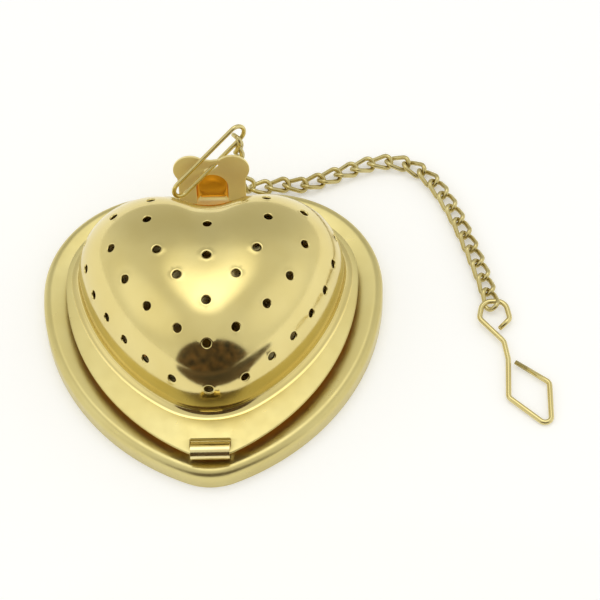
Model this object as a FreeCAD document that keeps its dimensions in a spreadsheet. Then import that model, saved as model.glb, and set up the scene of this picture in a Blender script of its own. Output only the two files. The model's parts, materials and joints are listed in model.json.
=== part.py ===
import FreeCAD, Part
import math
import os

import Sketcher
from FreeCAD import Placement, Rotation, Vector

# A heart-shaped tea infuser on its drip tray, in millimetres.
# +Z is up and z = 0 is the table.  X is across the heart, whose point and hinge are at -Y,
# and whose cleft and latch are at +Y.  The origin is under the middle of the tray.

DIMENSIONS = [
    # alias, value, what it is
    ("lobe_line", 9.5, "y of the line through the lobes' centres, shared by every heart"),
    ("tray_half_width", 30.0, "drip tray, half of its width"),
    ("tray_lobe_radius", 20.5, "drip tray, radius of a lobe"),
    ("tray_tip_radius", 10.5, "drip tray, radius of the point"),
    ("tray_tip_centre", -19.4, "drip tray, y of the point's centre"),
    ("tray_cleft_radius", 6.0, "drip tray, radius of the cleft"),
    ("tray_height", 4.0, "top of the tray's rim"),
    ("tray_gauge", 0.6, "tray sheet thickness"),
    ("tray_rim_width", 6.2, "width of the tray's rim"),
    ("tray_rim_round", 1.6, "outer rounding of the rim"),
    ("tray_taper", 30.0, "slope of the tray's inner wall from the vertical, degrees"),
    ("flange_half_width", 25.7, "shell flanges, half of their width"),
    ("flange_lobe_radius", 14.0, "shell flanges, radius of a lobe"),
    ("flange_tip_radius", 5.8, "shell flanges, radius of the point"),
    ("flange_tip_centre", -22.1, "shell flanges, y of the point's centre"),
    ("flange_cleft_radius", 9.0, "shell flanges, radius of the cleft"),
    ("flange_inset", 0.45, "how far the lower flange stays inside the upper one"),
    ("gauge", 0.5, "shell sheet thickness"),
    ("lower_flange_base", 5.2, "underside of the lower flange"),
    ("upper_flange_base", 5.72, "underside of the upper flange"),
    ("flange_front", -27.1, "front edge of the upper flange, in front of its slot"),
    ("lower_front", -24.2, "front edge of the lower flange, behind the hinge"),
    ("slot_front", -25.65, "front edge of the hinge slot"),
    ("slot_back", -23.9, "back edge of the hinge slot"),
    ("slot_half_width", 3.45, "half of the hinge slot's width"),
    ("tongue_half_width", 2.1, "latch tongue on the upper flange, half of its width"),
    ("tongue_end", 25.28, "y of the latch tongue's end"),
    ("foot_half_width", 6.0, "lower flange's foot under the latch, half of its width"),
    ("foot_end", 25.15, "y of the foot's end"),
    ("dome_lobe_offset", 10.9, "dome, x of a lobe's centre"),
    ("dome_lobe_radius", 12.4, "dome, radius of a lobe"),
    ("dome_side_radius", 36.5, "dome, radius of its side"),
    ("dome_tip_radius", 12.6, "dome, radius of its point"),
    ("dome_tip_centre", -6.3, "dome, y of the point's centre"),
    ("dome_cleft_radius", 12.0, "dome, radius of the cleft"),
    ("dome_centre", 1.0, "dome, y of the crown, where its sections shrink to"),
    ("dome_top", 24.0, "top of the dome"),
    ("dome_fillet", 1.5, "radius where the dome meets its flange"),
    ("bowl_centre", -6.5, "bowl, y of the point its sections shrink to"),
    ("bowl_bottom", 0.62, "underside of the lower bowl"),
    ("hole_diameter", 1.5, "steeping holes"),
    ("hinge_y", -26.4, "y of the hinge axis"),
    ("hinge_z", 6.1, "z of the hinge axis"),
    ("loop_inner", 0.9, "inner radius of the hinge loop"),
    ("loop_half_width", 3.3, "half of the hinge loop's width"),
    ("latch_y", 25.5, "y of the latch tab's foot"),
    ("latch_lean", 12.0, "how far the latch tab leans back, degrees"),
    ("latch_half_width", 6.0, "half of the latch tab's width"),
    ("ear_offset", 3.7, "x of the centre of a latch ear"),
    ("ear_height", 9.1, "height of the centre of a latch ear"),
    ("ear_radius", 3.1, "radius of a latch ear"),
    ("ear_valley", 11.2, "height of the edge between the ears"),
    ("window_half_width", 2.85, "half of the latch window's width"),
    ("window_bottom", 0.7, "bottom of the latch window"),
    ("window_spring", 5.05, "height where the window's arch starts"),
    ("window_depth", 1.6, "depth of the pressed pocket behind the window"),
    ("window_wall", 0.4, "sheet round the pressed pocket"),
    ("eyelet_height", 9.4, "height of the middle of the slanted eyelet"),
    ("eyelet_half_length", 1.0, "eyelet, from its middle to the centre of an end"),
    ("eyelet_radius", 0.5, "eyelet, radius of its ends"),
    ("hanger_wire", 0.8, "wire of the long link through the eyelet"),
    ("hanger_end_radius", 1.6, "long link, radius of its ends"),
    ("hanger_back", 6.2, "long link, straight length in front of the eyelet"),
    ("hanger_ahead", 7.4, "long link, straight length behind the eyelet"),
    ("chain_wire", 0.75, "wire of a chain link"),
    ("chain_link_length", 5.0, "outside length of a chain link"),
    ("chain_link_width", 3.2, "outside width of a chain link"),
    ("chain_pitch", 3.32, "distance from link to link"),
    ("hook_wire", 0.92, "wire of the hook"),
    ("hook_tilt", 1.75, "slope of the hook, whose eye rests on the last link, degrees"),
]

# Holes of the upper dome in the plan, (x, y), in rings from the point to the cleft. Those beside
# the line of symmetry are mirrored.
DOME_OUTER_HOLES = [
    (0.0, -18.3), (6.2, -16.4), (10.7, -12.8), (14.4, -8.9), (17.5, -4.4), (19.9, 0.4),
    (21.4, 5.7), (21.8, 11.8), (19.3, 17.0), (14.6, 20.1), (9.0, 20.4), (3.8, 18.2),
]
DOME_MIDDLE_HOLES = [
    (0.0, -13.9), (4.9, -11.3), (10.1, -6.7), (14.0, -1.0), (16.6, 5.8), (16.5, 13.4),
    (10.0, 16.1),
]
DOME_INNER_HOLES = [(0.0, -7.3), (5.0, -2.2), (8.5, 3.2), (10.4, 10.3), (0.0, 8.5), (0.0, 1.5)]
# Rings of holes in the flat bottom of the lower bowl: scale of the heart, y that it shrinks to,
# number of holes.
BOWL_RINGS = [(0.62, -3.0, 16), (0.38, -1.0, 10), (0.15, 0.0, 4)]

# The chain lies on this route: down from the long link to the table, then along it to the hook.
CHAIN_ROUTE = [
    (4.75, 31.35, 16.30), (5.00, 31.60, 12.30), (4.55, 31.90, 8.40), (4.90, 32.50, 4.35),
    (7.15, 32.30, 1.80), (9.15, 32.90, 1.28), (12.60, 33.50, 1.28), (16.40, 33.20, 1.28),
    (20.60, 34.80, 1.28), (25.20, 36.70, 1.28), (29.90, 38.30, 1.28), (34.60, 38.00, 1.28),
    (38.60, 35.30, 1.28), (41.40, 31.00, 1.28), (43.60, 25.90, 1.28), (45.40, 20.60, 1.28),
    (46.90, 15.60, 1.28), (48.20, 11.00, 1.28), (48.95, 6.95, 1.28),
]

# The hook's wire, from its free end round the eye and down the shank to the diamond, as seen
# from above with the top of the eye at (0, 0); the last number is the radius of the bend.
HOOK_BENDS = [
    (1.05, -5.60, 0.0), (2.95, -3.60, 1.1), (2.30, 0.10, 1.9), (-1.75, 0.10, 1.9),
    (-2.40, -3.40, 1.3), (1.65, -8.30, 1.8), (2.20, -12.00, 3.0), (1.85, -19.70, 1.0),
    (8.90, -26.20, 1.1), (9.05, -16.90, 1.1), (3.40, -12.60, 0.0),
]
HOOK_EYE_TOP = Vector(49.25, 6.35, 1.30)
# below this length of the route's direction in the plan, the chain counts as hanging
DROP_HEADING = 0.3

doc = FreeCAD.newDocument("tea_infuser")
dims = doc.addObject("Spreadsheet::Sheet", "dims")
for row, (alias, value, note) in enumerate(DIMENSIONS, start=1):
    dims.set(f"A{row}", alias)
    dims.set(f"B{row}", str(value))
    dims.set(f"C{row}", note)
    dims.setAlias(f"B{row}", alias)
doc.recompute()


def dim(alias):
    return float(dims.get(alias))


def bind(obj, prop, formula):
    obj.setExpression(prop, formula)


# ---------------------------------------------------------------- hearts

def heart_arcs(lobe_offset, lobe_radius, side_radius, tip_radius, tip_centre, cleft_radius):
    """The right half of a heart as (centre, radius, start angle, end angle), tip to cleft."""
    lobe_y = dim("lobe_line")
    lobe = Vector(lobe_offset, lobe_y, 0)
    tip = Vector(0, tip_centre, 0)
    cleft = Vector(0, lobe_y + math.sqrt((lobe_radius + cleft_radius) ** 2 - lobe_offset ** 2), 0)
    # the side's centre lies side - lobe from the lobe's centre and side - tip from the tip's
    to_lobe = side_radius - lobe_radius
    to_tip = side_radius - tip_radius
    apart = lobe.distanceToPoint(tip)
    along = (to_lobe ** 2 - to_tip ** 2 + apart ** 2) / (2 * apart)
    away = math.sqrt(to_lobe ** 2 - along ** 2)
    step = (tip - lobe).normalize()
    side = lobe + step * along + Vector(step.y, -step.x, 0) * away
    meet_tip = math.atan2(tip.y - side.y, tip.x - side.x)
    meet_lobe = math.atan2(lobe.y - side.y, lobe.x - side.x)
    meet_cleft = math.atan2(cleft.y - lobe.y, cleft.x - lobe.x)
    return [
        (tip, tip_radius, -math.pi / 2, meet_tip),
        (side, side_radius, meet_tip, meet_lobe),
        (lobe, lobe_radius, meet_lobe, meet_cleft),
        (cleft, cleft_radius, meet_cleft - math.pi, -math.pi / 2),
    ]


def point_on(arc, share):
    centre, radius, start, end = arc
    angle = start + (end - start) * share
    return centre + Vector(math.cos(angle), math.sin(angle), 0) * radius


def spaced_points(arcs, count):
    """Points at equal steps round the whole heart, counter-clockwise, the first at its tip."""
    lengths = [abs(end - start) * radius for _, radius, start, end in arcs]
    half = sum(lengths)
    points = []
    for index in range(count):
        travelled = 2 * half * index / count
        mirrored = travelled > half
        left = 2 * half - travelled if mirrored else travelled
        for arc, length in zip(arcs, lengths):
            if left <= length or arc is arcs[-1]:
                point = point_on(arc, min(left / length, 1.0))
                break
            left -= length
        points.append(Vector(-point.x, point.y, 0) if mirrored else point)
    return points


def dome_arcs(grow):
    """The dome's heart, grown outwards by a distance."""
    return heart_arcs(
        dim("dome_lobe_offset"),
        dim("dome_lobe_radius") + grow,
        dim("dome_side_radius") + grow,
        dim("dome_tip_radius") + grow,
        dim("dome_tip_centre"),
        dim("dome_cleft_radius") - grow,
    )


def shrunk(point, scale, centre_y):
    return Vector(point.x * scale, centre_y + (point.y - centre_y) * scale, 0)


SECTION_POINTS = 64


def heart_section(grow, scale, height, centre_y):
    """A smooth closed wire: the dome's heart, grown, shrunk towards a centre, at a height."""
    base = spaced_points(dome_arcs(grow), SECTION_POINTS)
    points = [shrunk(p, scale, centre_y) + Vector(0, 0, height) for p in base]
    curve = Part.BSplineCurve()
    steps = [float(i) for i in range(SECTION_POINTS + 1)]
    curve.interpolate(Points=points, PeriodicFlag=True, Parameters=steps)
    return Part.Wire(curve.toShape())


# The dome and the bowl are puffed: their height over the heart follows
# (1 - scale ** fullness) ** (1 / roundness), from 0 at the edge to 1 at the crown.
DOME_FULLNESS = 2.8
DOME_ROUNDNESS = 2.1
BOWL_FULLNESS = 6.0
BOWL_ROUNDNESS = 2.0
DOME_SCALES = [1.0, 0.9992, 0.995, 0.98, 0.95, 0.9, 0.82, 0.7, 0.55, 0.38, 0.2, 0.08]
BOWL_SCALES = [1.0, 0.998, 0.985, 0.95, 0.9, 0.82, 0.7, 0.55]
# how far the dome's hollow runs past its flange, so that the cut is clean
MOUTH_OVERRUN = 0.02


def puff(scale, fullness, roundness):
    return (1 - scale ** fullness) ** (1 / roundness)


def lofted(sections):
    return Part.makeLoft(sections, True, False)


def wall_start():
    return dim("upper_flange_base") + dim("gauge") + dim("dome_fillet")


def dome_outside():
    flange_top = dim("upper_flange_base") + dim("gauge")
    fillet = dim("dome_fillet")
    crown = dim("dome_centre")
    rise = dim("dome_top") - wall_start()
    sections = []
    for degrees in (0, 30, 60):
        turn = math.radians(degrees)
        sections.append(heart_section(fillet * (1 - math.sin(turn)), 1.0,
                                      flange_top + fillet * (1 - math.cos(turn)), crown))
    for scale in DOME_SCALES:
        height = wall_start() + rise * puff(scale, DOME_FULLNESS, DOME_ROUNDNESS)
        sections.append(heart_section(0.0, scale, height, crown))
    return lofted(sections)


def dome_inside():
    thick = dim("gauge")
    crown = dim("dome_centre")
    rise = dim("dome_top") - thick - wall_start()
    sections = [heart_section(-thick, 1.0, dim("upper_flange_base") - MOUTH_OVERRUN, crown),
                heart_section(-thick, 1.0, dim("upper_flange_base") + thick, crown)]
    for scale in DOME_SCALES:
        height = wall_start() + rise * puff(scale, DOME_FULLNESS, DOME_ROUNDNESS)
        sections.append(heart_section(-thick, scale, height, crown))
    return lofted(sections)


def bowl_solid(grow, bottom, top):
    """A shallow bowl: sections from the flange down to its flat bottom."""
    edge = dim("lower_flange_base") + 0.1
    flat = puff(BOWL_SCALES[-1], BOWL_FULLNESS, BOWL_ROUNDNESS)
    centre = dim("bowl_centre")
    sections = [heart_section(grow, 1.0, top, centre)]
    for scale in BOWL_SCALES:
        share = puff(scale, BOWL_FULLNESS, BOWL_ROUNDNESS) / flat
        sections.append(heart_section(grow, scale, edge - (edge - bottom) * share, centre))
    return lofted(sections)


# ---------------------------------------------------------------- holes

def crown_reach(direction):
    """Distance from the crown to the dome's heart along a direction in the plan."""
    crown = Vector(0, dim("dome_centre"), 0)
    outline = spaced_points(dome_arcs(0.0), 720)
    best = max(outline, key=lambda p: (p - crown).normalize().dot(direction))
    return (best - crown).Length


def on_dome(plan):
    """The point of the dome's outside over a point of the plan."""
    from_crown = plan - Vector(0, dim("dome_centre"), 0)
    if from_crown.Length < 1e-6:
        return Vector(plan.x, plan.y, dim("dome_top"))
    scale = min(from_crown.Length / crown_reach(Vector(from_crown).normalize()), 0.999)
    rise = dim("dome_top") - wall_start()
    height = wall_start() + rise * puff(scale, DOME_FULLNESS, DOME_ROUNDNESS)
    return Vector(plan.x, plan.y, height)


def dome_normal(plan):
    step = 0.15
    along_x = on_dome(plan + Vector(step, 0, 0)) - on_dome(plan - Vector(step, 0, 0))
    along_y = on_dome(plan + Vector(0, step, 0)) - on_dome(plan - Vector(0, step, 0))
    return along_x.cross(along_y).normalize()


def bowl_hole_plan():
    """The bowl's holes in the plan: rings of equal steps along shrunken hearts."""
    places = []
    for scale, centre_y, count in BOWL_RINGS:
        heart = spaced_points(dome_arcs(0.0), count)
        places.extend(shrunk(point, scale, centre_y) for point in heart)
    return places


def dome_hole_plan():
    """The dome's holes in the plan: the right-hand places and their mirror images."""
    places = []
    for x, y in DOME_OUTER_HOLES + DOME_MIDDLE_HOLES + DOME_INNER_HOLES:
        places.append(Vector(x, y, 0))
        if x > 0:
            places.append(Vector(-x, y, 0))
    return places


def dome_pins():
    reach = 1.6
    pins = []
    for plan in dome_hole_plan():
        normal = dome_normal(plan)
        foot = on_dome(plan) - normal * reach
        pins.append(Part.makeCylinder(dim("hole_diameter") / 2, 2 * reach, foot, normal))
    return Part.makeCompound(pins)


def bowl_pins():
    pins = []
    for plan in bowl_hole_plan():
        foot = Vector(plan.x, plan.y, dim("bowl_bottom") - 0.5)
        pins.append(Part.makeCylinder(dim("hole_diameter") / 2, 2.0, foot))
    return Part.makeCompound(pins)


# ---------------------------------------------------------------- document helpers

def new_body(name, label):
    body = doc.addObject("PartDesign::Body", name)
    body.Label = label
    return body


def plane_of(body, role):
    return next(f for f in body.Origin.OriginFeatures if f.Role == role)


def sketch_on(body, role, name):
    sketch = body.newObject("Sketcher::SketchObject", name)
    sketch.AttachmentSupport = [(plane_of(body, role), "")]
    sketch.MapMode = "FlatFace"
    return sketch


def raised(sketch, formula):
    bind(sketch, "AttachmentOffset.Base.z", formula)


def feature(name, shape):
    made = doc.addObject("Part::Feature", name)
    made.Shape = shape
    return made


def arc_edge(arc, mirrored):
    centre, radius, start, end = arc
    if mirrored:
        centre = Vector(-centre.x, centre.y, 0)
        start, end = math.pi - end, math.pi - start
    if end < start:
        start, end = end, start
    return Part.ArcOfCircle(Part.Circle(centre, Vector(0, 0, 1), radius), start, end)


def heart_sketch(sketch, prefix, inset):
    """A heart of tangent arcs whose sizes are the sheet's, inset by a formula's distance."""
    shrink = inset[1]
    half = dim(prefix + "_half_width") - shrink
    lobe_radius = dim(prefix + "_lobe_radius") - shrink
    tip_radius = dim(prefix + "_tip_radius") - shrink
    tip_centre = dim(prefix + "_tip_centre")
    drop = dim("lobe_line") - tip_centre
    side_radius = (half ** 2 + drop ** 2 - tip_radius ** 2) / (2 * (half - tip_radius))
    tip, side, lobe, cleft = heart_arcs(
        dim(prefix + "_half_width") - dim(prefix + "_lobe_radius"),
        lobe_radius, side_radius, tip_radius, tip_centre, dim(prefix + "_cleft_radius") + shrink)
    first = sketch.GeometryCount
    whole_tip = (tip[0], tip[1], -math.pi - tip[3], tip[3])
    cleft_half = -math.pi / 2 - cleft[2]
    whole_cleft = (cleft[0], cleft[1], -math.pi / 2 - abs(cleft_half), -math.pi / 2 + abs(cleft_half))
    for arc, mirrored in ((whole_tip, False), (side, False), (lobe, False),
                          (whole_cleft, False), (lobe, True), (side, True)):
        sketch.addGeometry(arc_edge(arc, mirrored), False)
    t, sr, lr, c, ll, sl = range(first, first + 6)
    tie = sketch.addConstraint
    tie(Sketcher.Constraint("Tangent", t, 2, sr, 1))
    tie(Sketcher.Constraint("Tangent", sr, 2, lr, 1))
    tie(Sketcher.Constraint("Tangent", lr, 2, c, 2))
    tie(Sketcher.Constraint("Tangent", c, 1, ll, 1))
    tie(Sketcher.Constraint("Tangent", ll, 2, sl, 1))
    tie(Sketcher.Constraint("Tangent", sl, 2, t, 1))
    tie(Sketcher.Constraint("Equal", lr, ll))
    tie(Sketcher.Constraint("Symmetric", lr, 3, ll, 3, -2))
    tie(Sketcher.Constraint("PointOnObject", t, 3, -2))
    for kind, item, formula in (
        ("Radius", t, f"dims.{prefix}_tip_radius{inset[0]}"),
        ("Radius", lr, f"dims.{prefix}_lobe_radius{inset[0]}"),
    ):
        size = sketch.Geometry[item].Radius
        number = tie(Sketcher.Constraint(kind, item, size))
        bind(sketch, f"Constraints[{number}]", formula)
    number = tie(Sketcher.Constraint("Radius", c, sketch.Geometry[c].Radius))
    bind(sketch, f"Constraints[{number}]",
         f"dims.{prefix}_cleft_radius{inset[0].replace('-', '+')}")
    for item, formula in (
        (lr, "dims.lobe_line"),
        (sr, "dims.lobe_line"),
        (sl, "dims.lobe_line"),
    ):
        number = tie(Sketcher.Constraint("DistanceY", -1, 1, item, 3, dim("lobe_line")))
        bind(sketch, f"Constraints[{number}]", formula)
    number = tie(Sketcher.Constraint("DistanceY", t, 3, -1, 1, -tip_centre))
    bind(sketch, f"Constraints[{number}]", f"-dims.{prefix}_tip_centre")
    number = tie(Sketcher.Constraint("DistanceX", -1, 1, lr, 3,
                                     dim(prefix + "_half_width") - dim(prefix + "_lobe_radius")))
    bind(sketch, f"Constraints[{number}]",
         f"dims.{prefix}_half_width - dims.{prefix}_lobe_radius")


def box_sketch(sketch, left, right, low, high):
    """A rectangle; each bound is a pair of a formula of the sheet and its value."""
    x0, x1, y0, y1 = left[1], right[1], low[1], high[1]
    corners = [Vector(x0, y0, 0), Vector(x1, y0, 0), Vector(x1, y1, 0), Vector(x0, y1, 0)]
    first = sketch.GeometryCount
    for index in range(4):
        sketch.addGeometry(Part.LineSegment(corners[index], corners[(index + 1) % 4]), False)
    tie = sketch.addConstraint
    for index in range(4):
        tie(Sketcher.Constraint("Coincident", first + index, 2, first + (index + 1) % 4, 1))
    for index, kind in enumerate(("Horizontal", "Vertical", "Horizontal", "Vertical")):
        tie(Sketcher.Constraint(kind, first + index))
    for kind, item, (formula, value) in (
        ("DistanceX", first, left), ("DistanceX", first + 1, right),
        ("DistanceY", first, low), ("DistanceY", first + 2, high),
    ):
        if value >= 0:
            number = tie(Sketcher.Constraint(kind, -1, 1, item, 1, value))
            bind(sketch, f"Constraints[{number}]", formula)
        else:
            number = tie(Sketcher.Constraint(kind, item, 1, -1, 1, -value))
            bind(sketch, f"Constraints[{number}]", f"-({formula})")


def named(*aliases):
    """A formula and its value from sheet names, such as named('slot_front')."""
    return (f"dims.{aliases[0]}", dim(aliases[0]))


def minus(alias):
    return (f"-dims.{alias}", -dim(alias))


def pad(body, sketch, name, formula):
    made = body.newObject("PartDesign::Pad", name)
    made.Profile = sketch
    bind(made, "Length", formula)
    body.Tip = made
    return made


def pocket(body, sketch, name, formula, upwards):
    made = body.newObject("PartDesign::Pocket", name)
    made.Profile = sketch
    made.Reversed = upwards
    bind(made, "Length", formula)
    body.Tip = made
    return made


def shrank(before, body, what):
    doc.recompute()
    after = body.Shape.Volume
    if after >= before - 1e-6:
        raise RuntimeError(f"{what} removed nothing")
    return after


# ---------------------------------------------------------------- drip tray

def edges_at(shape, height):
    """The names of the edges that lie in the plane z = height."""
    names = []
    for index, edge in enumerate(shape.Edges, start=1):
        box = edge.BoundBox
        if abs(box.ZMin - height) < 1e-4 and abs(box.ZMax - height) < 1e-4:
            names.append(f"Edge{index}")
    return names


def make_drip_tray():
    body = new_body("drip_tray_body", "drip_tray")
    outline = sketch_on(body, "XY_Plane", "tray_outline")
    heart_sketch(outline, "tray", ("", 0.0))
    pad(body, outline, "tray_rim", "dims.tray_height")
    doc.recompute()
    volume = body.Shape.Volume
    inner = sketch_on(body, "XY_Plane", "tray_inner")
    raised(inner, "dims.tray_height")
    heart_sketch(inner, "tray", (" - dims.tray_rim_width", dim("tray_rim_width")))
    well = pocket(body, inner, "tray_well", "dims.tray_height - dims.tray_gauge", False)
    bind(well, "TaperAngle", "-dims.tray_taper")
    volume = shrank(volume, body, "the tray's well")
    under = sketch_on(body, "XY_Plane", "tray_under")
    heart_sketch(under, "tray", (" - dims.tray_gauge", dim("tray_gauge")))
    heart_sketch(under, "tray", (" - dims.tray_rim_width + dims.tray_gauge",
                                 dim("tray_rim_width") - dim("tray_gauge")))
    hollow = pocket(body, under, "tray_under_rim", "dims.tray_height - dims.tray_gauge", True)
    shrank(volume, body, "the hollow under the rim")
    outer_round = body.newObject("PartDesign::Fillet", "tray_outer_round")
    names = [n for n in edges_at(body.Shape, dim("tray_height")) if is_outer(body.Shape, n)]
    outer_round.Base = (hollow, names)
    bind(outer_round, "Radius", "dims.tray_rim_round")
    body.Tip = outer_round
    return body


def is_outer(shape, edge_name):
    """Whether an edge of the rim's top lies on the tray's outer heart, not on the well's."""
    edge = shape.getElement(edge_name)
    middle = edge.valueAt((edge.FirstParameter + edge.LastParameter) / 2)
    half = dim("tray_half_width")
    drop = dim("lobe_line") - dim("tray_tip_centre")
    tip_radius = dim("tray_tip_radius")
    side_radius = (half ** 2 + drop ** 2 - tip_radius ** 2) / (2 * (half - tip_radius))
    heart = spaced_points(heart_arcs(half - dim("tray_lobe_radius"), dim("tray_lobe_radius"),
                                     side_radius, tip_radius, dim("tray_tip_centre"),
                                     dim("tray_cleft_radius")), 360)
    flat = Vector(middle.x, middle.y, 0)
    return min(flat.distanceToPoint(p) for p in heart) < 1.0


# ---------------------------------------------------------------- shells

def make_upper_shell():
    body = new_body("upper_flange_body", "upper_flange")
    outline = sketch_on(body, "XY_Plane", "upper_outline")
    raised(outline, "dims.upper_flange_base")
    heart_sketch(outline, "flange", ("", 0.0))
    pad(body, outline, "upper_plate", "dims.gauge")
    tongue = sketch_on(body, "XY_Plane", "tongue_outline")
    raised(tongue, "dims.upper_flange_base")
    box_sketch(tongue, minus("tongue_half_width"), named("tongue_half_width"),
               named("lobe_line"), named("tongue_end"))
    pad(body, tongue, "latch_tongue", "dims.gauge")
    doc.recompute()
    volume = body.Shape.Volume
    slot = sketch_on(body, "XY_Plane", "slot_outline")
    raised(slot, "dims.upper_flange_base + dims.gauge")
    box_sketch(slot, minus("slot_half_width"), named("slot_half_width"),
               named("slot_front"), named("slot_back"))
    pocket(body, slot, "hinge_slot", "dims.gauge", False)
    volume = shrank(volume, body, "the hinge slot")
    front = sketch_on(body, "XY_Plane", "front_trim")
    raised(front, "dims.upper_flange_base + dims.gauge")
    box_sketch(front, minus("tray_half_width"), named("tray_half_width"),
               ("-dims.tray_half_width - 5", -dim("tray_half_width") - 5), named("flange_front"))
    pocket(body, front, "front_edge", "dims.gauge", False)
    shrank(volume, body, "the front edge")

    outside = feature("dome_outside", dome_outside())
    inside = feature("dome_inside", dome_inside())
    pins = feature("dome_pins", dome_pins())
    whole = doc.addObject("Part::MultiFuse", "upper_whole")
    whole.Shapes = [body, outside]
    hollow = doc.addObject("Part::Cut", "upper_hollow")
    hollow.Base = whole
    hollow.Tool = inside
    shell = doc.addObject("Part::Cut", "upper_shell_cut")
    shell.Base = hollow
    shell.Tool = pins
    shell.Label = "upper_shell"
    return shell


def hinge_loop():
    """The strap from under the lower flange, forwards, up and over the bar into the slot."""
    inner = dim("loop_inner")
    outer = inner + dim("gauge")
    half = dim("loop_half_width")
    axis = Vector(-half, dim("hinge_y"), dim("hinge_z"))
    ring = Part.makeCylinder(outer, 2 * half, axis, Vector(1, 0, 0))
    ring = ring.cut(Part.makeCylinder(inner, 2 * half, axis, Vector(1, 0, 0)))
    # the loop is open at the back, where the sheet comes in and its end dips into the slot
    gap_height = inner + 0.2
    gap = Part.makeBox(2 * half, outer + 1, gap_height,
                       Vector(-half, dim("hinge_y"), dim("hinge_z") - inner))
    loop = ring.cut(gap)
    strap_length = dim("lower_front") - dim("hinge_y") + 1.2
    strap = Part.makeBox(2 * half, strap_length, dim("gauge"),
                         Vector(-half, dim("hinge_y"), dim("hinge_z") - outer))
    return loop.fuse(strap)


def make_lower_shell():
    body = new_body("lower_flange_body", "lower_flange")
    outline = sketch_on(body, "XY_Plane", "lower_outline")
    raised(outline, "dims.lower_flange_base")
    heart_sketch(outline, "flange", (" - dims.flange_inset", dim("flange_inset")))
    pad(body, outline, "lower_plate", "dims.gauge")
    foot = sketch_on(body, "XY_Plane", "foot_outline")
    raised(foot, "dims.lower_flange_base")
    box_sketch(foot, minus("foot_half_width"), named("foot_half_width"),
               named("lobe_line"), named("foot_end"))
    pad(body, foot, "latch_foot", "dims.gauge")
    doc.recompute()
    volume = body.Shape.Volume
    front = sketch_on(body, "XY_Plane", "lower_trim")
    raised(front, "dims.lower_flange_base + dims.gauge")
    box_sketch(front, minus("tray_half_width"), named("tray_half_width"),
               ("-dims.tray_half_width - 5", -dim("tray_half_width") - 5), named("lower_front"))
    pocket(body, front, "lower_edge", "dims.gauge", False)
    shrank(volume, body, "the lower front edge")

    bottom = dim("bowl_bottom")
    top = dim("lower_flange_base") + dim("gauge")
    outside = feature("bowl_outside", bowl_solid(0.0, bottom, top))
    inside = feature("bowl_inside", bowl_solid(-dim("gauge"), bottom + dim("gauge"), top + 0.5))
    loop = feature("hinge_loop", hinge_loop())
    pins = feature("bowl_pins", bowl_pins())
    whole = doc.addObject("Part::MultiFuse", "lower_whole")
    whole.Shapes = [body, outside, loop]
    hollow = doc.addObject("Part::Cut", "lower_hollow")
    hollow.Base = whole
    hollow.Tool = inside
    shell = doc.addObject("Part::Cut", "lower_shell_cut")
    shell.Base = hollow
    shell.Tool = pins
    shell.Label = "lower_shell"
    return shell


# ---------------------------------------------------------------- latch tab

# The long link runs through the eyelet along LINK_RUN; its other side lies along LINK_UP.
LINK_RUN = Vector(0.722, 0.550, 0.420).normalize()


def latch_frame():
    """The middle of the latch tab's foot, and the tab's upward direction."""
    lean = math.radians(dim("latch_lean"))
    foot = Vector(0, dim("latch_y"), dim("lower_flange_base"))
    return foot, Vector(0, math.sin(lean), math.cos(lean))


def add_edges(sketch, edges):
    for edge in edges:
        sketch.addGeometry(edge, False)


def ear_arc(sign):
    """The round ear of the tab, from its side up and over to the valley."""
    centre = Vector(sign * dim("ear_offset"), dim("ear_height"), 0)
    radius = dim("ear_radius")
    side_x = dim("latch_half_width") - dim("ear_offset")
    at_side = -math.acos(side_x / radius)
    at_valley = math.pi - math.asin((dim("ear_valley") - dim("ear_height")) / radius)
    circle = Part.Circle(centre, Vector(0, 0, 1), radius)
    if sign > 0:
        return Part.ArcOfCircle(circle, at_side, at_valley)
    return Part.ArcOfCircle(circle, math.pi - at_valley, math.pi - at_side)


def arch_edges(grow):
    """The latch window's outline, with its arched top, grown by a distance."""
    wide = dim("window_half_width") + grow
    low = dim("window_bottom") - grow
    spring = dim("window_spring")
    return [
        Part.LineSegment(Vector(-wide, low, 0), Vector(wide, low, 0)),
        Part.LineSegment(Vector(wide, low, 0), Vector(wide, spring, 0)),
        Part.ArcOfCircle(Part.Circle(Vector(0, spring, 0), Vector(0, 0, 1), wide), 0, math.pi),
        Part.LineSegment(Vector(-wide, spring, 0), Vector(-wide, low, 0)),
    ]


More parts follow.
